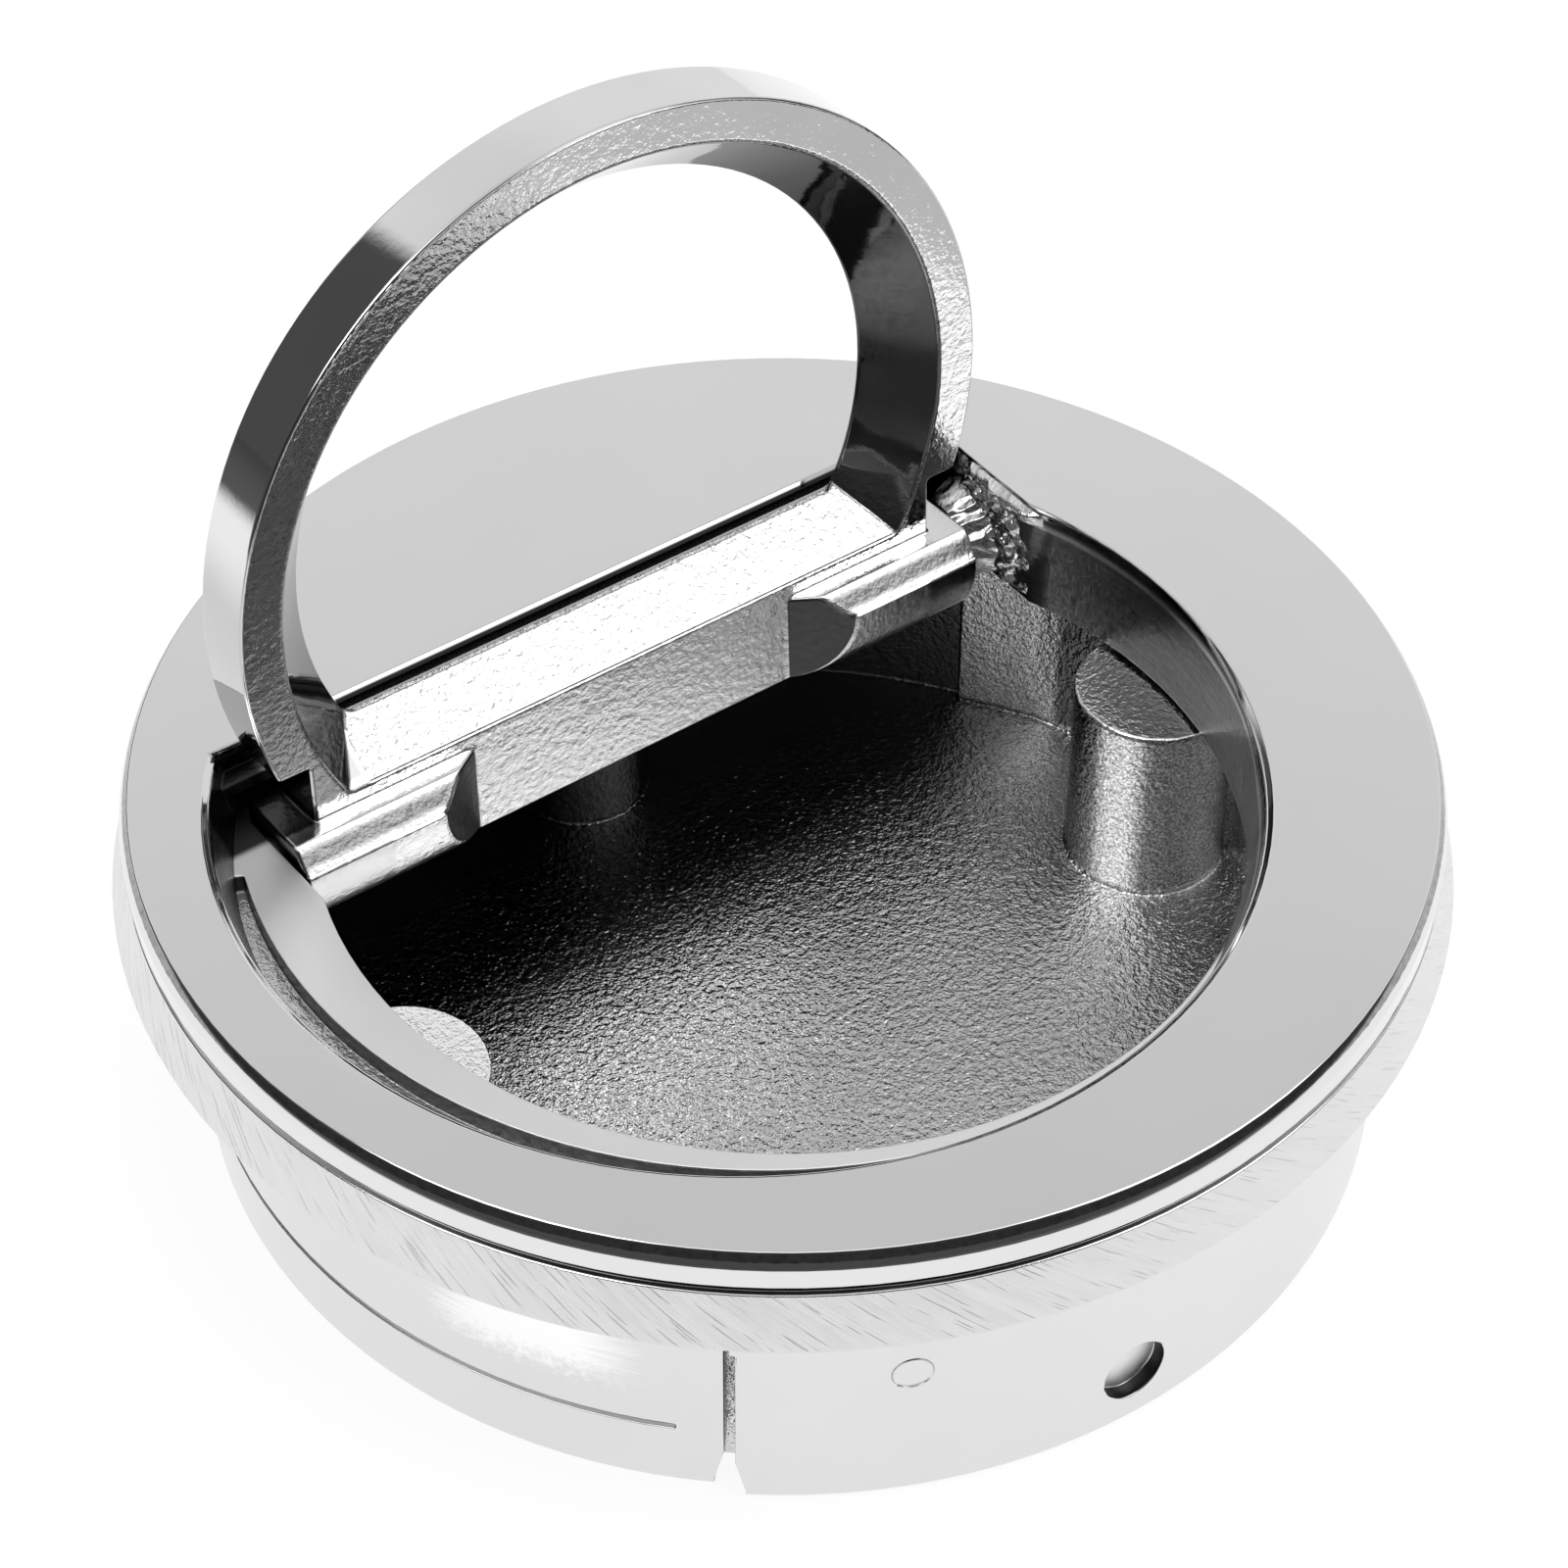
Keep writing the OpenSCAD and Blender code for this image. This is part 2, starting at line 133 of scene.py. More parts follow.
def grey(w, shade):
    return w.node("CombineColor", {}, {0: shade, 1: shade, 2: shade})


def finishMetal(w, colour, roughness, height):  # height is in millimetres
    bump = w.node("Bump", {}, {"Height": height, "Distance": mm, "Strength": 1.0})
    shader = w.node("BsdfPrincipled", {}, {"Base Color": colour, "Roughness": roughness,
                                           "Metallic": 1.0, "Normal": bump})
    w.node("OutputMaterial", {}, {"Surface": shader})


def plainMesh(piece):  # the evaluated shape as a plain mesh, with no modifiers left
    graph = bpy.context.evaluated_depsgraph_get()
    made = bpy.data.meshes.new_from_object(piece.evaluated_get(graph))
    made.name = piece.name
    piece.modifiers.clear()
    piece.data = made
    return piece


def castCopy(nodeName, name, look):  # a node's mesh, merged, with its edges rounded
    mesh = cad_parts[nodeName].data.copy()
    mesh.name = name
    if "custom_normal" in mesh.attributes:
        mesh.attributes.remove(mesh.attributes["custom_normal"])
    shape = bmesh.new()
    shape.from_mesh(mesh)
    bmesh.ops.remove_doubles(shape, verts=shape.verts, dist=look["merge"] * mm)
    bmesh.ops.dissolve_limit(shape, angle_limit=math.radians(look["flatAngle"]),
                             verts=shape.verts, edges=shape.edges)
    for face in shape.faces:
        face.smooth = True
    shape.to_mesh(mesh)
    shape.free()
    piece = bpy.data.objects.new(name, mesh)
    bpy.context.scene.collection.objects.link(piece)
    bevel = piece.modifiers.new("edges", "BEVEL")
    bevel.width = look["edge"] * mm
    bevel.segments = look["segments"]
    bevel.limit_method = "ANGLE"
    bevel.angle_limit = math.radians(look["sharpAngle"])
    bevel.use_clamp_overlap = False
    bevel.miter_outer = "MITER_ARC"
    weighted = piece.modifiers.new("normals", "WEIGHTED_NORMAL")
    weighted.mode = "FACE_AREA"
    weighted.keep_sharp = False
    return plainMesh(piece)


def dress(piece, material, body, slot, *nodes):
    piece.data.materials.clear()
    piece.data.materials.append(material)
    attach(piece, body)
    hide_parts(*nodes)
    print(piece.name, "faces", len(piece.data.polygons))


# bezel: polished top and rim, ground side, smooth plated skirt
# a pair of numbers is the span of a mask
bezelLook = {
    "edge": 0.08, "segments": 3, "sharpAngle": 20, "flatAngle": 0.3, "merge": 0.002,
    "shade": 0.76, "wallPaintedShade": 0.3, "stepPaintedShade": 0.1, "recessPaintedShade": 0.05, "ledgePaintedLight": 0.86,
    "gapPaintedShade": 0.03, "bottomPaintedLight": 1.0, "patchPaintedReflection": 0.24, "scratchShade": 0.12, "blue": 1.006,
    "plateRough": 0.06, "sideRough": 0.3, "skirtRough": 0.22, "wallRough": 0.3, "ledgeRough": 0.45,
    "grindRough": 0.25, "roughDrift": 0.4, "shadeDrift": 0.06,
    "roughScale": 0.5, "shadeScale": 0.12, "fade": 0.05, "fineFade": 0.02,
    "flangeRadius": 32.0, "sideRadius": (31.3, 31.45), "side": (13.7, 16.55),
    "skirtTop": (13.2, 13.5), "flatFace": (0.6, 0.8), "crossFace": (0.4, 0.7),
    "wallRadius": (28.1, 28.3), "plateFoot": (12.5, 12.6), "wallFoot": (12.6, 12.9),
    "wallTop": (18.35, 18.75), "groove": (14.5, 14.85), "ledge": (15.75, 15.85),
    "stepRadius": (23.0, 23.2), "step": (14.9, 15.7),
    "rolledStart": (4.0, 9.0), "rolledPaintedShadow": (18.3, 18.7), "rolledPaintedHighlight": (17.85, 18.15),
    "slotInside": (27.6, 27.7), "slotOutside": (29.45, 29.6),
    "holeFront": (27.8, 28.0), "holeX": (-3.3, 0.3), "holeZ": (1.5, 5.1),
    "holeBottom": (29.2, 29.4),
    "recesses": (  # side, distance from the middle, distance behind the middle
        (-1, (22.1, 22.5), (12.8, 13.2)),
        (-1, (19.8, 20.4), (12.2, 12.7)),
        (1, (19.6, 20.0), (13.2, 13.8))),
    "gapFront": (15.85, 15.95), "gapBack": (16.3, 16.5), "gapTop": (18.8, 18.9),
    "lineRadius": (30.9, 31.1), "line": (16.6, 17.05), "lineEdge": 0.04,
    "lineReach": (-42.0, 4.0), "lineFade": 12.0,
    "brimRadius": (31.2, 31.4), "brim": (18.62, 19.0),
    "brimWander": 0.1, "brimPaintedShade": 0.35, "brimSpeck": 0.5,
    "patchReach": (-38.0, -29.0), "patchHeight": (8.0, 15.0), "patchWander": 5.0, "patchRise": 3.0,
    "grindSlope": 38, "grindAlong": 0.16, "grindAcross": 2.6, "grindDepth": 0.02,
    "scratchAlong": 0.3, "scratchAcross": 7.0, "scratches": (0.6, 0.72), "scratchDepth": 0.4,
    "wave": 0.004, "waveScale": 0.22, "speckScale": 2.6, "streakAlong": 0.3, "streakUp": 4.5,
    "wallSpecks": 0.03, "grooveSpecks": 0.1, "skirtSpecks": 0.006, "patchSpecks": 0.03,
}


def bezelMaterial(look):
    material, w = newMaterial("chromedBezel")
    place, (x, y, z) = splitPlace(w)
    facingX, facingY, facingZ = w.node("TexCoord", out="Normal").axes()
    radius = (x * x + y * y) ** 0.5
    around = w.math("ARCTAN2", x, 0 - y) * look["flangeRadius"]  # millimetres round the flange
    flat = facingZ.step(*look["flatFace"])
    outward = abs(facingX * x + facingY * y) / radius
    across = 1 - outward.step(*look["crossFace"])
    side = radius.step(*look["sideRadius"]) * z.band(*look["side"], look["fade"])
    skirt = 1 - z.step(*look["skirtTop"])
    inner = (1 - radius.step(*look["wallRadius"])) * z.step(*look["plateFoot"])
    below = inner * (1 - z.step(*look["wallTop"]))
    groove = inner * flat * z.band(*look["groove"], look["fineFade"])
    ledge = inner * flat * z.band(*look["ledge"], look["fineFade"])
    step = inner * radius.step(*look["stepRadius"]) * z.band(*look["step"], look["fineFade"])
    wall = below * z.step(*look["wallFoot"]) * (1 - ledge) * (1 - groove)
    # walls of the slots and of the fixing hole, which get painted shade, and the hole's bottom,
    # which gets painted light
    slots = skirt * across * (1 - abs(facingZ).step(0.9, 0.97))
    slots = slots * radius.step(*look["slotInside"]) * (1 - radius.step(*look["slotOutside"]))
    hole = x.band(*look["holeX"], look["fade"]) * z.band(*look["holeZ"], look["fade"])
    hole = hole * (0 - y).step(*look["holeFront"])
    bottom = hole * (1 - radius.step(*look["holeBottom"])) * outward.step(0.9, 0.95)
    dark = slots.most(hole * across)
    # painted shade in the recesses at the ends of the hinge
    for sign, reach, back in look["recesses"]:
        dark = dark.most(below * (x * sign).step(*reach) * y.step(*back))
    # painted shade in the gap behind the crossbar, and a painted shadow line under the rim at the
    # front
    gap = inner * y.step(*look["gapFront"]) * (1 - y.step(*look["gapBack"]))
    gap = gap * (1 - z.step(*look["gapTop"]))
    line = radius.step(*look["lineRadius"]) * z.band(*look["line"], look["lineEdge"])
    line = line * around.band(*look["lineReach"], look["lineFade"])
    # slanting strokes of the grinding belt
    slope = math.radians(look["grindSlope"])
    lengthways = around * math.cos(slope) - z * math.sin(slope)
    crossways = around * math.sin(slope) + z * math.cos(slope)
    grind = noise(w, joinPlace(w, lengthways * look["grindAlong"], crossways * look["grindAcross"],
                               radius * 0.2), 1.0, 4.0, 0.7)
    marks = joinPlace(w, lengthways * look["scratchAlong"], crossways * look["scratchAcross"], 3.0)
    scratch = noise(w, marks, 1.0, 1.0).step(*look["scratches"])
    wave = noise(w, place, look["waveScale"])
    speck = noise(w, place, look["speckScale"], 3.0, 0.6)
    level = joinPlace(w, around * look["streakAlong"], z * look["streakUp"], 1.0)
    streak = noise(w, level, 1.0, 3.0, 0.6)
    # painted reflection: a bright wavy patch on the skirt's wing
    paintedReflection = skirt * (around + look["patchWander"] * (streak - 0.5)).band(*look["patchReach"], 2.0)
    paintedReflection = paintedReflection * (z + look["patchRise"] * speck).band(*look["patchHeight"], 1.0)
    # painted shade: a flecked dark band along the rim's bevel
    brim = (z + look["brimWander"] * speck).band(*look["brim"], look["fineFade"])
    brim = brim * radius.step(*look["brimRadius"])
    rough = mixNumber(w, side, look["plateRough"], look["sideRough"])
    rough = mixNumber(w, skirt, rough, look["skirtRough"])
    rough = mixNumber(w, wall.most(groove), rough, look["wallRough"])
    rough = mixNumber(w, ledge.most(bottom), rough, look["ledgeRough"])
    rough = rough.drift(noise(w, place, look["roughScale"], 4.0, 0.6), look["roughDrift"])
    rough = rough + side * look["grindRough"] * (grind - 0.5)
    cloud = noise(w, place, look["shadeScale"], 3.0)
    shade = look["shade"] * (1 + look["shadeDrift"] * (cloud - 0.5))
    shade = shade - side * look["scratchShade"] * scratch + paintedReflection * look["patchPaintedReflection"]
    shade = shade * (1 - brim * (look["brimPaintedShade"] + look["brimSpeck"] * speck))
    # painted shade on the pocket's wall under the plate, broken by streaks and specks
    shade = mixNumber(w, wall, shade, look["wallPaintedShade"] * (0.2 + 0.6 * speck + streak))
    # a painted shadow line and a painted highlight line along the top of the right wall
    rolled = wall * x.step(*look["rolledStart"])
    for span, tone in (("rolledPaintedShadow", "stepPaintedShade"), ("rolledPaintedHighlight", "ledgePaintedLight")):
        shade = mixNumber(w, rolled * z.band(*look[span], look["fade"]), shade, look[tone])
    # painted shade on the step face down in the pocket
    shade = mixNumber(w, step, shade, look["stepPaintedShade"])
    # painted light: the ledge is a lighter grey than the rest of the chrome
    shade = mixNumber(w, ledge, shade, look["ledgePaintedLight"])
    # painted shade on the slot and hole walls and in the hinge recesses
    shade = mixNumber(w, dark, shade, look["recessPaintedShade"])
    # painted light on the fixing hole's bottom
    shade = mixNumber(w, bottom, shade, look["bottomPaintedLight"])
    # painted shade in the gap and along the line under the rim
    shade = mixNumber(w, gap.most(line), shade, look["gapPaintedShade"])
    colour = w.node("CombineColor", {}, {0: shade, 1: shade, 2: shade * look["blue"]})
    height = side * look["grindDepth"] * (grind - look["scratchDepth"] * scratch)
    height = height + look["wave"] * wave
    height = height + speck * (wall * look["wallSpecks"] + groove * look["grooveSpecks"]
                               + skirt * look["skirtSpecks"] + paintedReflection * look["patchSpecks"])
    finishMetal(w, colour, rough, height)
    return material


bezel = castCopy("bezel", "bezelCasting", bezelLook)
dress(bezel, bezelMaterial(bezelLook), "base", "bezel", "bezel")

# cup: as-cast grain under the plating, with painted shade in the back under the plate and painted
# light and shade on the sides
cupLook = {
    "edge": 0.16, "segments": 3, "sharpAngle": 28, "flatAngle": 0.3, "merge": 0.002,
    "shade": 0.66, "sidePaintedLightAndShade": 0.32, "streakPaintedHighlight": 1.0, "topPaintedShading": 1.0, "backPaintedShade": 0.17,
    "rough": 0.1, "sideRough": 0.16, "roughDrift": 0.8, "shadeDrift": 0.16, "speckle": 0.45,
    "grain": 0.14, "grainScale": 2.9, "fine": 0.3, "fineScale": 7.25,
    "wave": 0.02, "waveScale": 0.3, "shadeScale": 0.2, "speckles": (0.4, 0.6),
    "floorTop": (1.7, 2.0), "bossTop": (12.1, 12.3), "topGrain": 0.6, "outerWall": (25.6, 25.9),
    # side faces looking in these directions get a painted highlight streak, the other sides painted
    # shade
    "streak": (-80, -50), "streakFade": 10,  # directions that the bright side faces look in
    "coveredStart": (6.0, 12.0), "pierFoot": (1.5, 2.0), "pierStart": (8.2, 8.6),
    "pierEnd": (15.6, 16.4), "pierFront": (0.5, 2.0),
}


def cupMaterial(look):
    material, w = newMaterial("grainedCup")
    place, (x, y, z) = splitPlace(w)
    facingX, facingY = w.node("TexCoord", out="Normal").axes("XY")
    radius = (x * x + y * y) ** 0.5
    top = z.step(*look["bossTop"])
    side = z.step(*look["floorTop"]) * (1 - top)
    grain = noise(w, place, look["grainScale"], 2.0, 0.6)
    fine = noise(w, place, look["fineScale"], 1.0, 0.6)
    height = look["grain"] * (1 - look["topGrain"] * top) * (grain + look["fine"] * fine)
    height = height + look["wave"] * noise(w, place, look["waveScale"])
    # painted highlight streak on the sides of the boss and pier, painted shade on the rest of the
    # sides
    turned = w.math("ARCTAN2", facingX, 0 - facingY) * degrees
    streak = turned.band(*look["streak"], look["streakFade"])
    sidePaintedLightAndShade = mixNumber(w, streak, look["sidePaintedLightAndShade"], look["streakPaintedHighlight"])
    shade = mixNumber(w, side * (1 - radius.step(*look["outerWall"])), look["shade"], sidePaintedLightAndShade)
    # painted light on the boss tops
    shade = mixNumber(w, top, shade, look["topPaintedShading"])
    shade = shade.drift(noise(w, place, look["shadeScale"], 3.0), look["shadeDrift"])
    # speckled tone that follows the grain, with a painted sparkle in it
    shade = shade * (1 + side * (fine.step(*look["speckles"]) - 0.5) * look["speckle"])
    # painted shade on everything behind the hinge but the right pier's face
    pier = (x - y).step(*look["pierStart"]) * z.step(*look["pierFoot"])
    paintedShadeBack = y.step(*look["coveredStart"]) * (1 - pier)
    paintedShadeBack = paintedShadeBack.most(side * y.step(*look["pierFront"]) * (x - y).step(*look["pierEnd"]))
    shade = mixNumber(w, paintedShadeBack, shade, look["backPaintedShade"])
    rough = mixNumber(w, side, look["rough"], look["sideRough"]).drift(fine, look["roughDrift"])
    finishMetal(w, grey(w, shade), rough, height)
    return material


cup = castCopy("cup", "cupCasting", cupLook)
dress(cup, cupMaterial(cupLook), "base", "cup", "cup")

# ring: polished hoop, lightly grained front and crossbar
ringLook = {
    "edge": 0.2, "segments": 4, "sharpAngle": 28, "flatAngle": 0.3, "merge": 0.002,
    "shade": 0.78, "frontPaintedShade": 0.44, "barPaintedLight": 1.0, "topPaintedShading": 0.4, "innerPaintedShade": 0.25,
    "endPaintedShade": 0.15, "notchPaintedShade": 0.06, "rightPaintedShade": 0.1, "lowPaintedShade": 0.55,
    "shadeDrift": 0.1, "grainShade": 0.4,
    "rough": 0.05, "frontRough": 0.12, "barRough": 0.2, "lugRough": 0.2, "roughDrift": 0.6,
    "grain": 0.035, "grainScale": 2.6, "sideGrain": 0.04, "barGrain": 0.09, "barFrontGrain": 0.4,
    "barTopGrain": 0.5, "lugGrain": 0.02, "wave": 0.006, "waveScale": 0.35,
    "roughScale": 0.7, "shadeScale": 0.25,
    # by the direction of a face, then by place
    "front": (0.82, 0.93), "inner": (0.5, 0.78), "innerFade": 0.04, "ends": (0.35, 0.45),
    "upward": (0.6, 0.75), "rightFace": (0.2, 0.6), "lowFace": (0.4, 0.7),
    "barEnd": (16.0, 16.5), "barTop": (20.3, 20.5), "barLip": (16.8, 17.0),
    "hoopFoot": (17.6, 17.9),
    "notchX": (19.0, 19.3), "notchY": (11.2, 11.5), "notchTop": (17.3, 17.5),
    "rightX": (1.0, 6.0), "rightFoot": (21.0, 25.0), "lowX": (12.0, 15.0), "lowTop": (30.0, 34.0),
}


def ringMaterial(look):
    material, w = newMaterial("chromedRing")
    place, (x, y, z) = splitPlace(w)
    facingX, facingY, upward = w.node("TexCoord", out="Normal").axes()
    facing, leftward, left = 0 - facingY, 0 - facingX, 0 - x
    front = facing.step(*look["front"])
    notFront = 1 - front
    middle = (1 - abs(x).step(*look["barEnd"])) * (1 - z.step(*look["barTop"]))
    hoop = z.step(*look["hoopFoot"]) * (1 - middle)
    bar = (1 - hoop) * middle
    # painted shade on the hoop's inner face
    inner = facing.band(*look["inner"], look["innerFade"]) * hoop
    # painted shade on the crossbar's top, darker than the rest of the ring
    top = bar * upward.step(*look["upward"]) * z.step(*look["barLip"])
    lug = (1 - hoop) * (1 - top) * notFront
    # painted shade on the ends of the lugs and crossbar, and in the notch beside the left lug
    ends = (1 - hoop) * abs(facingX).step(*look["ends"])
    notch = left.step(*look["notchX"]) * y.step(*look["notchY"]) * (1 - z.step(*look["notchTop"]))
    # painted shade on the hoop's inner right side, and on its left side low down
    right = hoop * notFront * leftward.step(*look["rightFace"])
    right = right * x.step(*look["rightX"]) * z.step(*look["rightFoot"])
    low = hoop * notFront * leftward.step(*look["lowFace"])
    low = low * left.step(*look["lowX"]) * (1 - z.step(*look["lowTop"]))
    grain = noise(w, place, look["grainScale"], 2.0, 0.6)
    height = look["wave"] * noise(w, place, look["waveScale"])
    height = height + grain * look["grain"] * (look["sideGrain"] + (1 - look["sideGrain"]) * front)
    barShare = look["barFrontGrain"] * front + look["barTopGrain"] * top
    height = height + grain * look["barGrain"] * bar * barShare
    height = height + grain * look["lugGrain"] * lug
    rough = mixNumber(w, front, look["rough"], look["frontRough"])
    rough = mixNumber(w, top.most(front * bar), rough, look["barRough"])
    rough = mixNumber(w, lug, rough, look["lugRough"])
    rough = rough.drift(noise(w, place, look["roughScale"], 4.0, 0.6), look["roughDrift"])
    # painted shade on the hoop's front
    shade = mixNumber(w, front * hoop, look["shade"], look["frontPaintedShade"])
    # painted light on the crossbar's front
    shade = mixNumber(w, front * bar, shade, look["barPaintedLight"])
    for mask, name in ((top, "topPaintedShading"), (inner, "innerPaintedShade"), (right, "rightPaintedShade"),
                       (low, "lowPaintedShade"), (ends, "endPaintedShade"), (notch, "notchPaintedShade")):
        shade = mixNumber(w, mask, shade, look[name])
    shade = shade.drift(noise(w, place, look["shadeScale"], 3.0), look["shadeDrift"])
    shade = shade * (1 + (top + front * bar) * (grain - 0.5) * look["grainShade"])
    finishMetal(w, grey(w, shade), rough, height)
    return material


ring = castCopy("ring", "ringCasting", ringLook)
dress(ring, ringMaterial(ringLook), "ring", "ring", "ring")

# peened metal: the crumpled skin pushed up round the right pin, and the lip above it
peenLook = {
    "front": 6.2, "back": 15.9, "foot": 12.75, "top": 18.9, "wall": 21.4, "hole": 22.7,
    "thick": 0.4, "sunk": 0.1, "nearest": 19.55,
    "pinY": 13.0, "pinZ": 14.15, "swell": 1.95, "core": 1.9, "spread": 3.3,
    "fold": 0.55, "foldReach": (1.4, 5.0), "foldFade": 0.8, "ridge": 5.0, "ripple": 1.2,
    "lip": 0.6, "lipHeight": (17.9, 18.8), "lipEdge": 0.25, "lipReach": (7.4, 10.8), "lipFade": 0.9,
    "seed": 3.0,
    "fadeAlong": (0.42, 0.5), "fadeUp": (0.44, 0.5), "pointsAlong": 120, "pointsUp": 80,
    "shade": 0.95, "strokePaintedShade": 0.1, "strokePaintedHighlight": 1.5, "shaded": (12.6, 13.6), "shadedShare": 0.93,
    "rough": 0.12, "strokeDepth": 0.06,
}
peenInputs = ("swell", "fold", "lip", "seed")


def peenTree(look):
    tree = bpy.data.node_groups.new("peenedSkin", "GeometryNodeTree")
    for name in peenInputs:
        tree.interface.new_socket(name, in_out="INPUT", socket_type="NodeSocketFloat")
    tree.interface.new_socket("material", in_out="INPUT", socket_type="NodeSocketMaterial")
    tree.interface.new_socket("skin", in_out="OUTPUT", socket_type="NodeSocketGeometry")
    w = Wire(tree)
    given = tree.nodes.new("NodeGroupInput")
    swell, fold, lip, seed = [Wire(tree, given.outputs[name]) for name in peenInputs]
    block = w.node("GeometryNodeMeshCube", {}, {
        "Size": (1, 1, 1), "Vertices X": 2, "Vertices Y": look["pointsAlong"],
        "Vertices Z": look["pointsUp"]}, out="Mesh")
    across, along, up = w.node("GeometryNodeInputPosition").axes()
    y = (along + 0.5) * (look["back"] - look["front"]) + look["front"]
    z = (up + 0.5) * (look["top"] - look["foot"]) + look["foot"]
    offY, offZ = y - look["pinY"], z - look["pinZ"]
    away = (offY * offY + offZ * offZ) ** 0.5
    inside = (1 - abs(along).step(*look["fadeAlong"])) * (1 - abs(up).step(*look["fadeUp"]))
    big = noise(w, joinPlace(w, y * 0.55 + z * 0.3, z * 0.4, seed), 1.0, 1.0)
    small = noise(w, joinPlace(w, y, z, seed), 1.6)
    ridge = 1 - abs(big - 0.5) * look["ridge"] + (small - 0.5) * look["ripple"]
    crumple = ridge.most(0.0) * away.band(*look["foldReach"], look["foldFade"])
    rolled = z.band(*look["lipHeight"], look["lipEdge"])
    rolled = rolled * y.band(*look["lipReach"], look["lipFade"])
    wall = ((look["hole"] ** 2 - y * y) ** 0.5).most(look["wall"]) + look["sunk"]
    swollen = swell * (1 - away.step(look["core"], look["spread"])) + fold * crumple + lip * rolled
    face = (wall - inside * swollen).most(look["nearest"])
    x = mixNumber(w, across + 0.5, face, wall + look["thick"])
    corner = w.node("VectorMath", {"operation": "SCALE"}, {0: joinPlace(w, x, y, z), "Scale": mm})
    moved = w.node("GeometryNodeSetPosition", {}, {"Geometry": block, "Position": corner})
    smooth = w.node("GeometryNodeSetShadeSmooth", {}, {"Geometry": moved, "Shade Smooth": True})
    whole = w.node("GeometryNodeRealizeInstances", {}, {"Geometry": smooth})
    dressed = w.node("GeometryNodeSetMaterial", {}, {
        "Geometry": whole, "Material": Wire(tree, given.outputs["material"])})
    ending = tree.nodes.new("NodeGroupOutput")
    tree.links.new(dressed.socket, ending.inputs[0])
    return tree


def peenMaterial(look):
    material, w = newMaterial("peenedMetal")
    x, y, z = splitPlace(w)[1]
    strokes = noise(w, joinPlace(w, y * 0.3 + z * 0.25, (y - z * 1.2) * 3.0, x), 1.0, 3.0, 0.6)
    # stroke tone of the peened skin, with painted highlights and painted shade in its strong
    # contrast
    shade = look["shade"] * (look["strokePaintedShade"] + look["strokePaintedHighlight"] * strokes)
    # painted shade on the skin behind the pin
    shade = shade * (1 - look["shadedShare"] * y.step(*look["shaded"]))
    rough = look["rough"] * (0.6 + 0.9 * strokes)
    finishMetal(w, grey(w, shade), rough, look["strokeDepth"] * strokes)
    return material


def makePeen(look):
    piece = bpy.data.objects.new("peenedMetal", bpy.data.meshes.new("peenedMetal"))
    bpy.context.scene.collection.objects.link(piece)
    skin = piece.modifiers.new("skin", "NODES")
    skin.node_group = peenTree(look)
    finish = peenMaterial(look)
    sockets = {item.name: item.identifier for item in skin.node_group.interface.items_tree
               if item.in_out == "INPUT"}
    for name in peenInputs:
        skin[sockets[name]] = look[name]
    skin[sockets["material"]] = finish
    dress(plainMesh(piece), finish, "base", "bezel")


makePeen(peenLook)

# pins: plain drawn steel
pinLook = {"shade": 0.55, "shadeDrift": 0.3, "rough": 0.3, "roughDrift": 0.6,
           "lines": 0.004, "lineLength": 0.2, "lineWidth": 6.0}


def pinMaterial(look):
    material, w = newMaterial("drawnPins")
    x, y, z = splitPlace(w)[1]
    lines = noise(w, joinPlace(w, x * look["lineLength"], y * look["lineWidth"],
                               z * look["lineWidth"]), 1.0, 3.0)
    shade = look["shade"] * (1 + look["shadeDrift"] * (lines - 0.5))
    rough = look["rough"] * (1 + look["roughDrift"] * (lines - 0.5))
    finishMetal(w, grey(w, shade), rough, look["lines"] * lines)
    return material


pinFinish = pinMaterial(pinLook)
for name in ("pin_left", "pin_right"):
    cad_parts[name].data.materials.clear()
    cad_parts[name].data.materials.append(pinFinish)
print("pins dressed")

# studio: pale floor, soft light all round, dark along the horizon and behind the camera
# azimuth 0 is towards -Y and 90 towards +X; both angles are in degrees
studioLook = {
    "tent": 0.68, "low": 0.18, "lowTop": (33, 52), "dark": 0.075,
    "glow": 0.6, "glowAzimuth": (-122, 80), "glowElevation": (51, 74),
    "beltTop": (16, 23), "beltGap": (82, 172),
    "cameraSide": (-112, 12), "cameraTop": (45, 50),
    "leftBack": (-160, -108), "leftTop": (39, 43), "leftRise": 11, "leftRiseAzimuth": (-133, -100),
    "boxInner": 14, "boxOuter": 21,
    "boxes": ((42, 49, 2.3), (-88, 48, 3.0)),  # azimuth, elevation and light of each soft box
    "floor": 0.86, "floorGlow": 0.93, "floorNear": (0.16, 0.24), "floorFarSide": (100, 172),
    "floorSize": 3.0, "floorDrop": 0.05,
}


def lookTo(azimuth, elevation):
    a, e = math.radians(azimuth), math.radians(elevation)
    return Vector((math.sin(a) * math.cos(e), -math.cos(a) * math.cos(e), math.sin(e)))


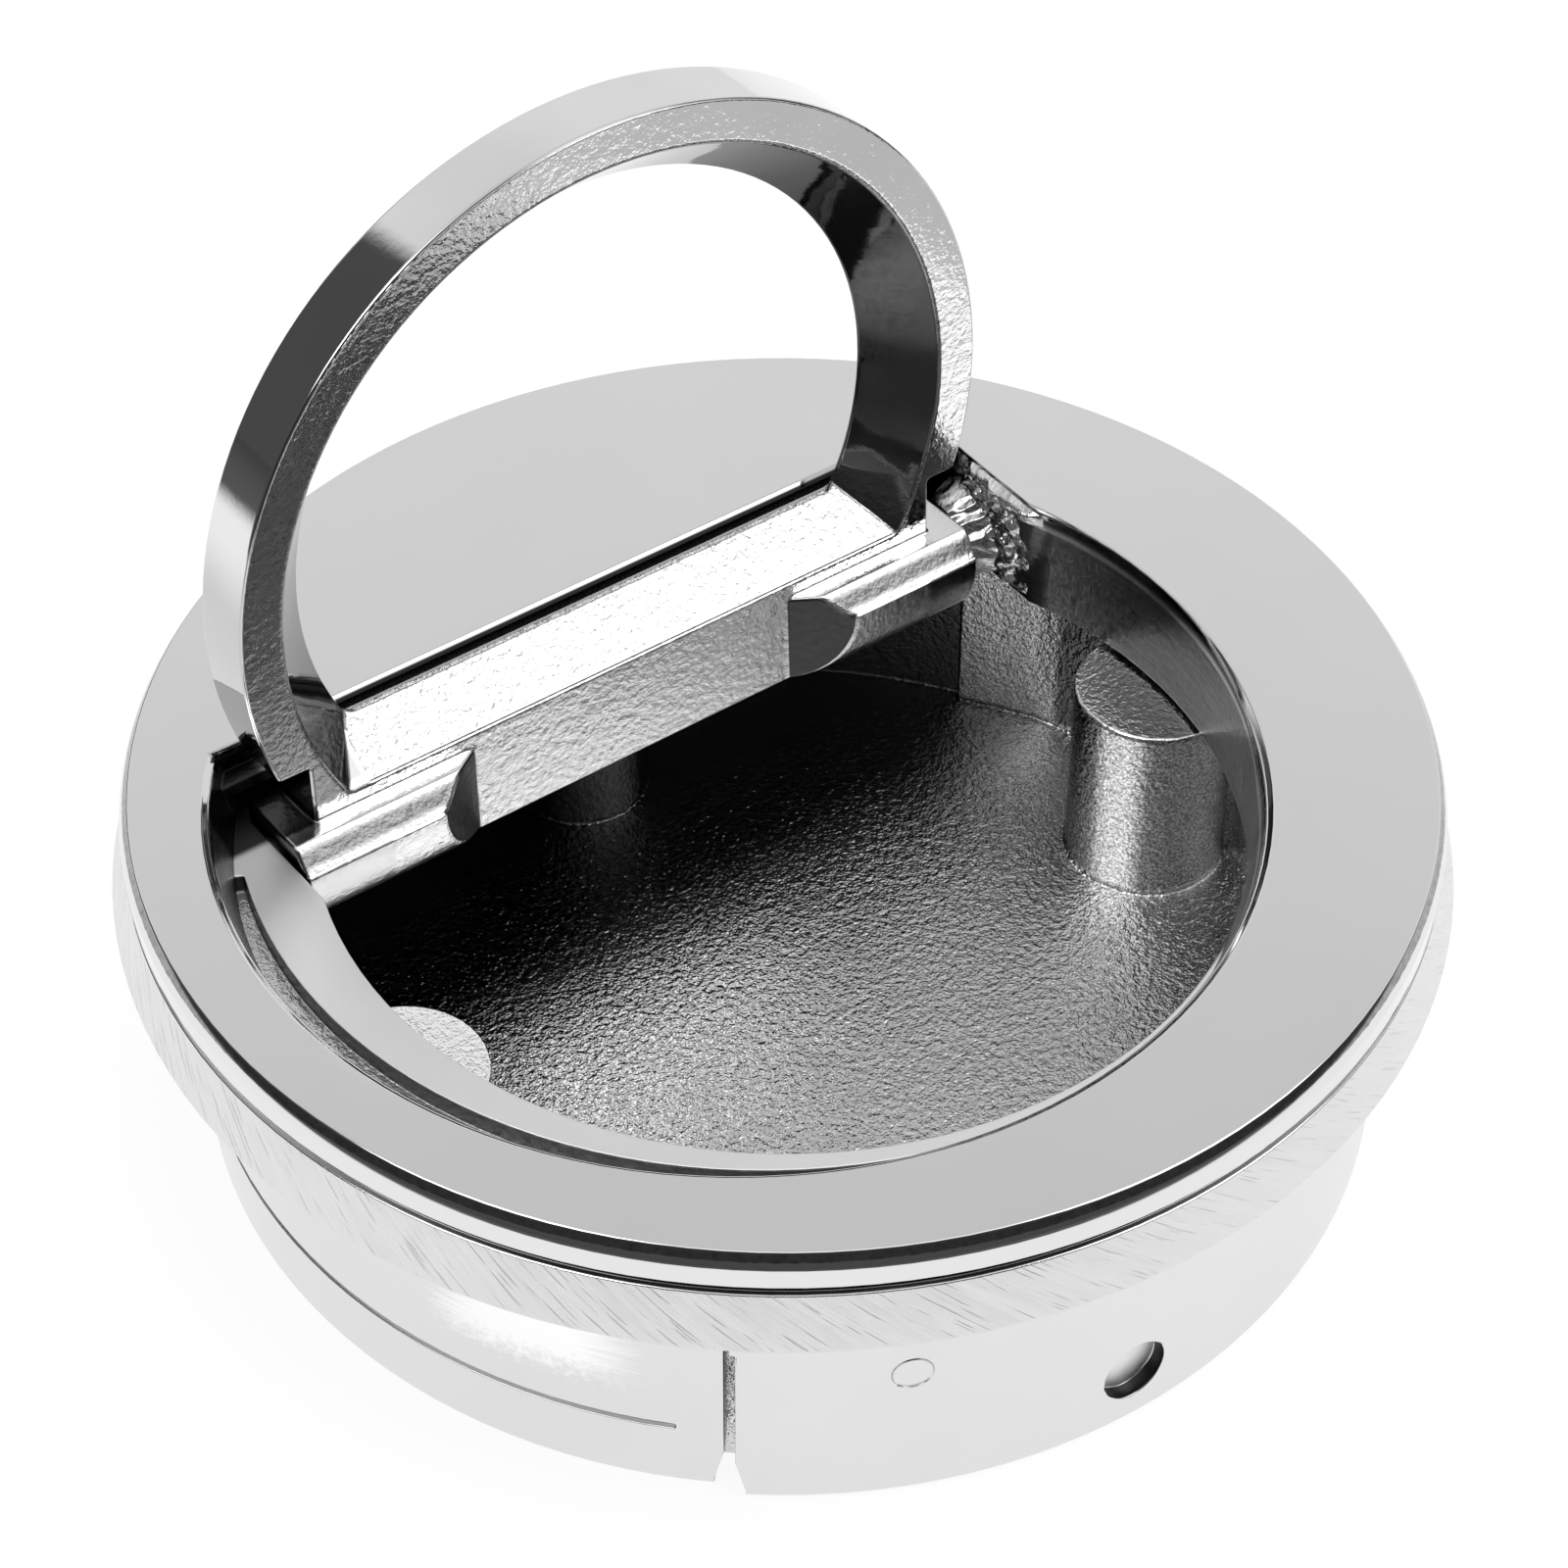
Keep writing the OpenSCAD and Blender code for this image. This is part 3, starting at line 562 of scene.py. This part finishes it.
def makeWorld(look):
    world = bpy.data.worlds.new("studio")
    bpy.context.scene.world = world
    world.use_nodes = True
    world.node_tree.nodes.clear()
    w = Wire(world.node_tree)
    direction = w.node("TexCoord", out="Generated")
    x, y, z = direction.axes()
    azimuth = w.math("ARCTAN2", x, 0 - y) * degrees
    elevation = w.math("ARCSINE", z) * degrees
    light = look["tent"] + look["low"] * (1 - elevation.step(*look["lowTop"]))
    glowing = azimuth.band(*look["glowAzimuth"], 10) * elevation.band(*look["glowElevation"], 3)
    light = light + look["glow"] * glowing
    belt = (1 - elevation.step(*look["beltTop"])) * (1 - azimuth.band(*look["beltGap"], 8))
    cameraSide = azimuth.band(*look["cameraSide"], 8) * (1 - elevation.step(*look["cameraTop"]))
    lowered = elevation - look["leftRise"] * azimuth.band(*look["leftRiseAzimuth"], 4)
    leftBack = azimuth.band(*look["leftBack"], 3) * (1 - lowered.step(*look["leftTop"]))
    light = mixNumber(w, belt.most(cameraSide.most(leftBack)), light, look["dark"])
    edges = [math.cos(math.radians(look[name])) for name in ("boxOuter", "boxInner")]
    for boxAzimuth, boxElevation, boxLight in look["boxes"]:
        towards = w.node("VectorMath", {"operation": "DOT_PRODUCT"},
                         {0: direction, 1: lookTo(boxAzimuth, boxElevation)}, out="Value")
        light = light + boxLight * towards.step(*edges)
    studio = w.node("Background", {}, {"Color": grey(w, light), "Strength": 1.0})
    white = w.node("Background", {}, {"Color": (1, 1, 1, 1), "Strength": 1.0})
    seen = w.node("LightPath", out="Is Camera Ray")
    w.node("OutputWorld", {}, {"Surface": w.node("MixShader", {}, {0: seen, 1: studio, 2: white})})


def makeFloor(look):
    material, w = newMaterial("paleFloor")
    camera, glossy, through = [w.node("LightPath", out=name) for name in (
        "Is Camera Ray", "Is Glossy Ray", "Is Transmission Ray")]
    spot = w.node("TexCoord", out="Object")
    x, y = spot.axes("XY")
    away = w.node("VectorMath", {"operation": "LENGTH"}, {0: spot}, out="Value")
    farSide = (w.math("ARCTAN2", x, 0 - y) * degrees).band(*look["floorFarSide"], 8)
    near = farSide.most(1 - away.step(*look["floorNear"]))
    share = camera.most(glossy.most(through)) * look["floorGlow"]
    plain = w.node("BsdfDiffuse", {}, {"Color": (look["floor"],) * 3 + (1,)})
    glow = w.node("Emission", {}, {"Color": grey(w, camera.most(near)), "Strength": 1.0})
    both = w.node("MixShader", {}, {0: share, 1: plain, 2: glow})
    w.node("OutputMaterial", {}, {"Surface": both})
    reach, below = look["floorSize"], -look["floorDrop"] * mm
    mesh = bpy.data.meshes.new("floor")
    mesh.from_pydata([(-reach, -reach, below), (reach, -reach, below),
                      (reach, reach, below), (-reach, reach, below)], [], [(0, 1, 2, 3)])
    mesh.materials.append(material)
    floor = bpy.data.objects.new("floor", mesh)
    bpy.context.scene.collection.objects.link(floor)


makeWorld(studioLook)
makeFloor(studioLook)

# lamp over the object, kept out of the reflections; metres and watts
lampLook = {"place": (0.12, -0.05, 0.7), "size": 0.6, "power": 6.0}


def makeLamp(look):
    lamp = bpy.data.lights.new("overhead", "AREA")
    lamp.shape = "DISK"
    lamp.size = look["size"]
    lamp.energy = look["power"]
    lampObject = bpy.data.objects.new("overhead", lamp)
    place = Vector(look["place"])
    lampObject.location = place
    lampObject.rotation_euler = (-place).to_track_quat("-Z", "Y").to_euler()
    lampObject.visible_glossy = False
    bpy.context.scene.collection.objects.link(lampObject)


makeLamp(lampLook)

cameraLook = {"place": (-92.67, -124.95, 161.98), "aim": (-0.517, -0.729, 18.022),
              "roll": 0.346, "lens": 101.25, "sensor": 36.0, "clip": (0.01, 20.0)}


def makeCamera(look):
    data = bpy.data.cameras.new("photoCamera")
    data.lens = look["lens"]
    data.sensor_width = look["sensor"]
    data.clip_start, data.clip_end = look["clip"]
    camera = bpy.data.objects.new("photoCamera", data)
    place, aim = Vector(look["place"]) * mm, Vector(look["aim"]) * mm
    level = (aim - place).to_track_quat("-Z", "Y").to_matrix()
    turned = level @ Matrix.Rotation(math.radians(look["roll"]), 3, "Z")
    camera.location = place
    camera.rotation_euler = turned.to_euler()
    bpy.context.scene.collection.objects.link(camera)
    bpy.context.scene.camera = camera


makeCamera(cameraLook)
bpy.context.scene.view_settings.view_transform = "Standard"
print("studio ready")
